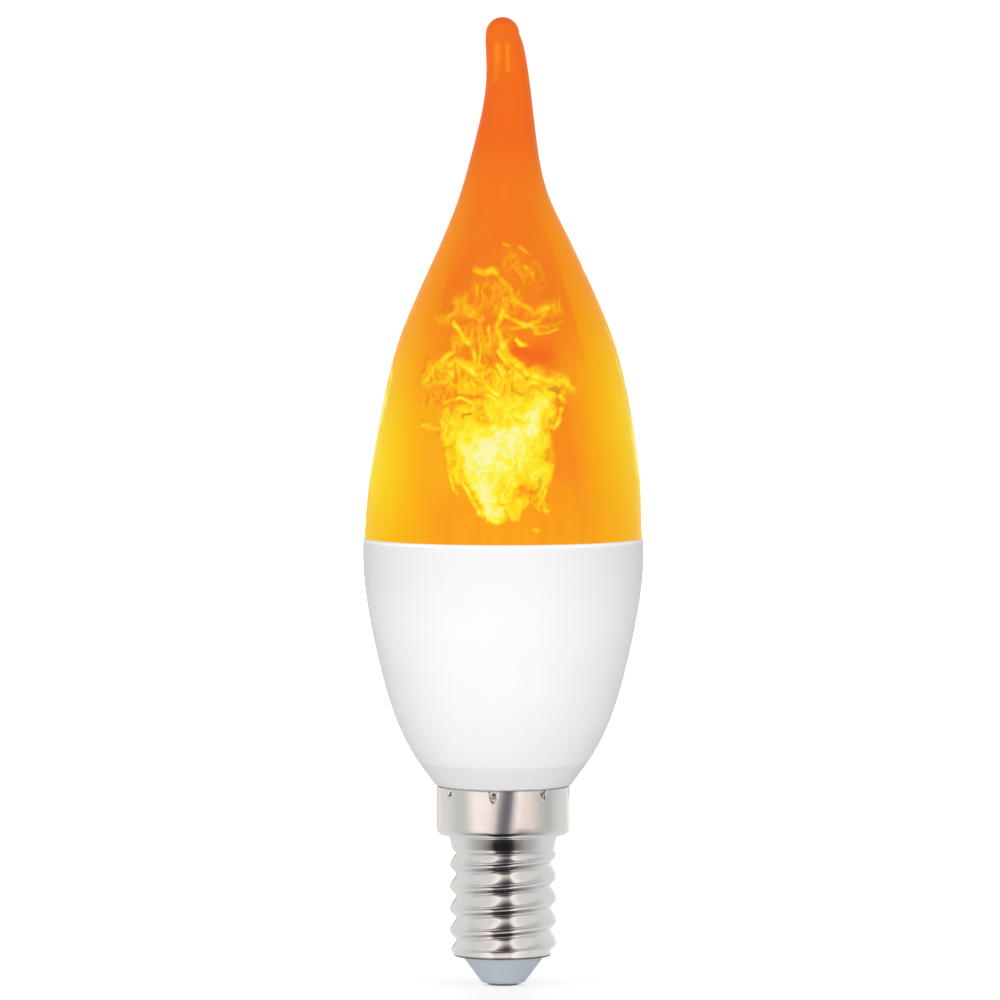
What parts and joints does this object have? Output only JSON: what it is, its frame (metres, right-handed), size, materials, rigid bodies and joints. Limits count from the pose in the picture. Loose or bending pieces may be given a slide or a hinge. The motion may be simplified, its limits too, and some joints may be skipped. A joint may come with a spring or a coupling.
{
  "type": "led light bulb",
  "caption": "Flame-effect candle lamp: amber translucent cover with a bent tip, white plastic housing and small Edison screw cap.",
  "frame": {"origin": "on the lamp axis at the centre contact's face, where the screw cap seats in its lampholder", "axes": "+Z along the lamp axis towards the cover's tip, -Y towards the viewer of the picture, +X to that viewer's right"},
  "size_m": [0.0358, 0.0358, 0.1235],
  "materials": {
    "amber_cover": "translucent amber, lit from inside",
    "white_housing": "smooth white",
    "nickel_plate": "bright nickel plate on rolled sheet",
    "insulator_plastic": "pale blue-grey, smooth",
    "contact_metal": "plain plated metal",
    "led_board": "white solder mask",
    "carrier_plastic": "plain white",
    "led_body": "amber lens in a pale body",
    "chip_black": "moulded black",
    "driver_laminate": "green solder mask",
    "capacitor_can": "sleeved can",
    "ferrite": "dark fired ferrite",
    "resistor_coat": "flameproof coating",
    "wire_sleeve": "insulated wire"
  },
  "bodies": {
    "root": {"flame_cover": "amber_cover", "housing": "white_housing", "screw_shell": "nickel_plate", "cap_insulator": "insulator_plastic", "centre_contact": "contact_metal", "base_board": "led_board", "led_carrier": "carrier_plastic", "led_wrap_board": "led_board", "flame_leds": "led_body", "led_resistors": "chip_black", "top_board": "led_board", "top_leds": "led_body", "driver_board": "driver_laminate", "header_pins": "contact_metal", "rectifier": "chip_black", "driver_ic": "chip_black", "controller_ic": "chip_black", "driver_chips": "chip_black", "filter_capacitor": "capacitor_can", "inductor": "ferrite", "fusible_resistor": "resistor_coat", "live_wire": "wire_sleeve", "neutral_wire": "wire_sleeve"}
  },
  "joints": []
}
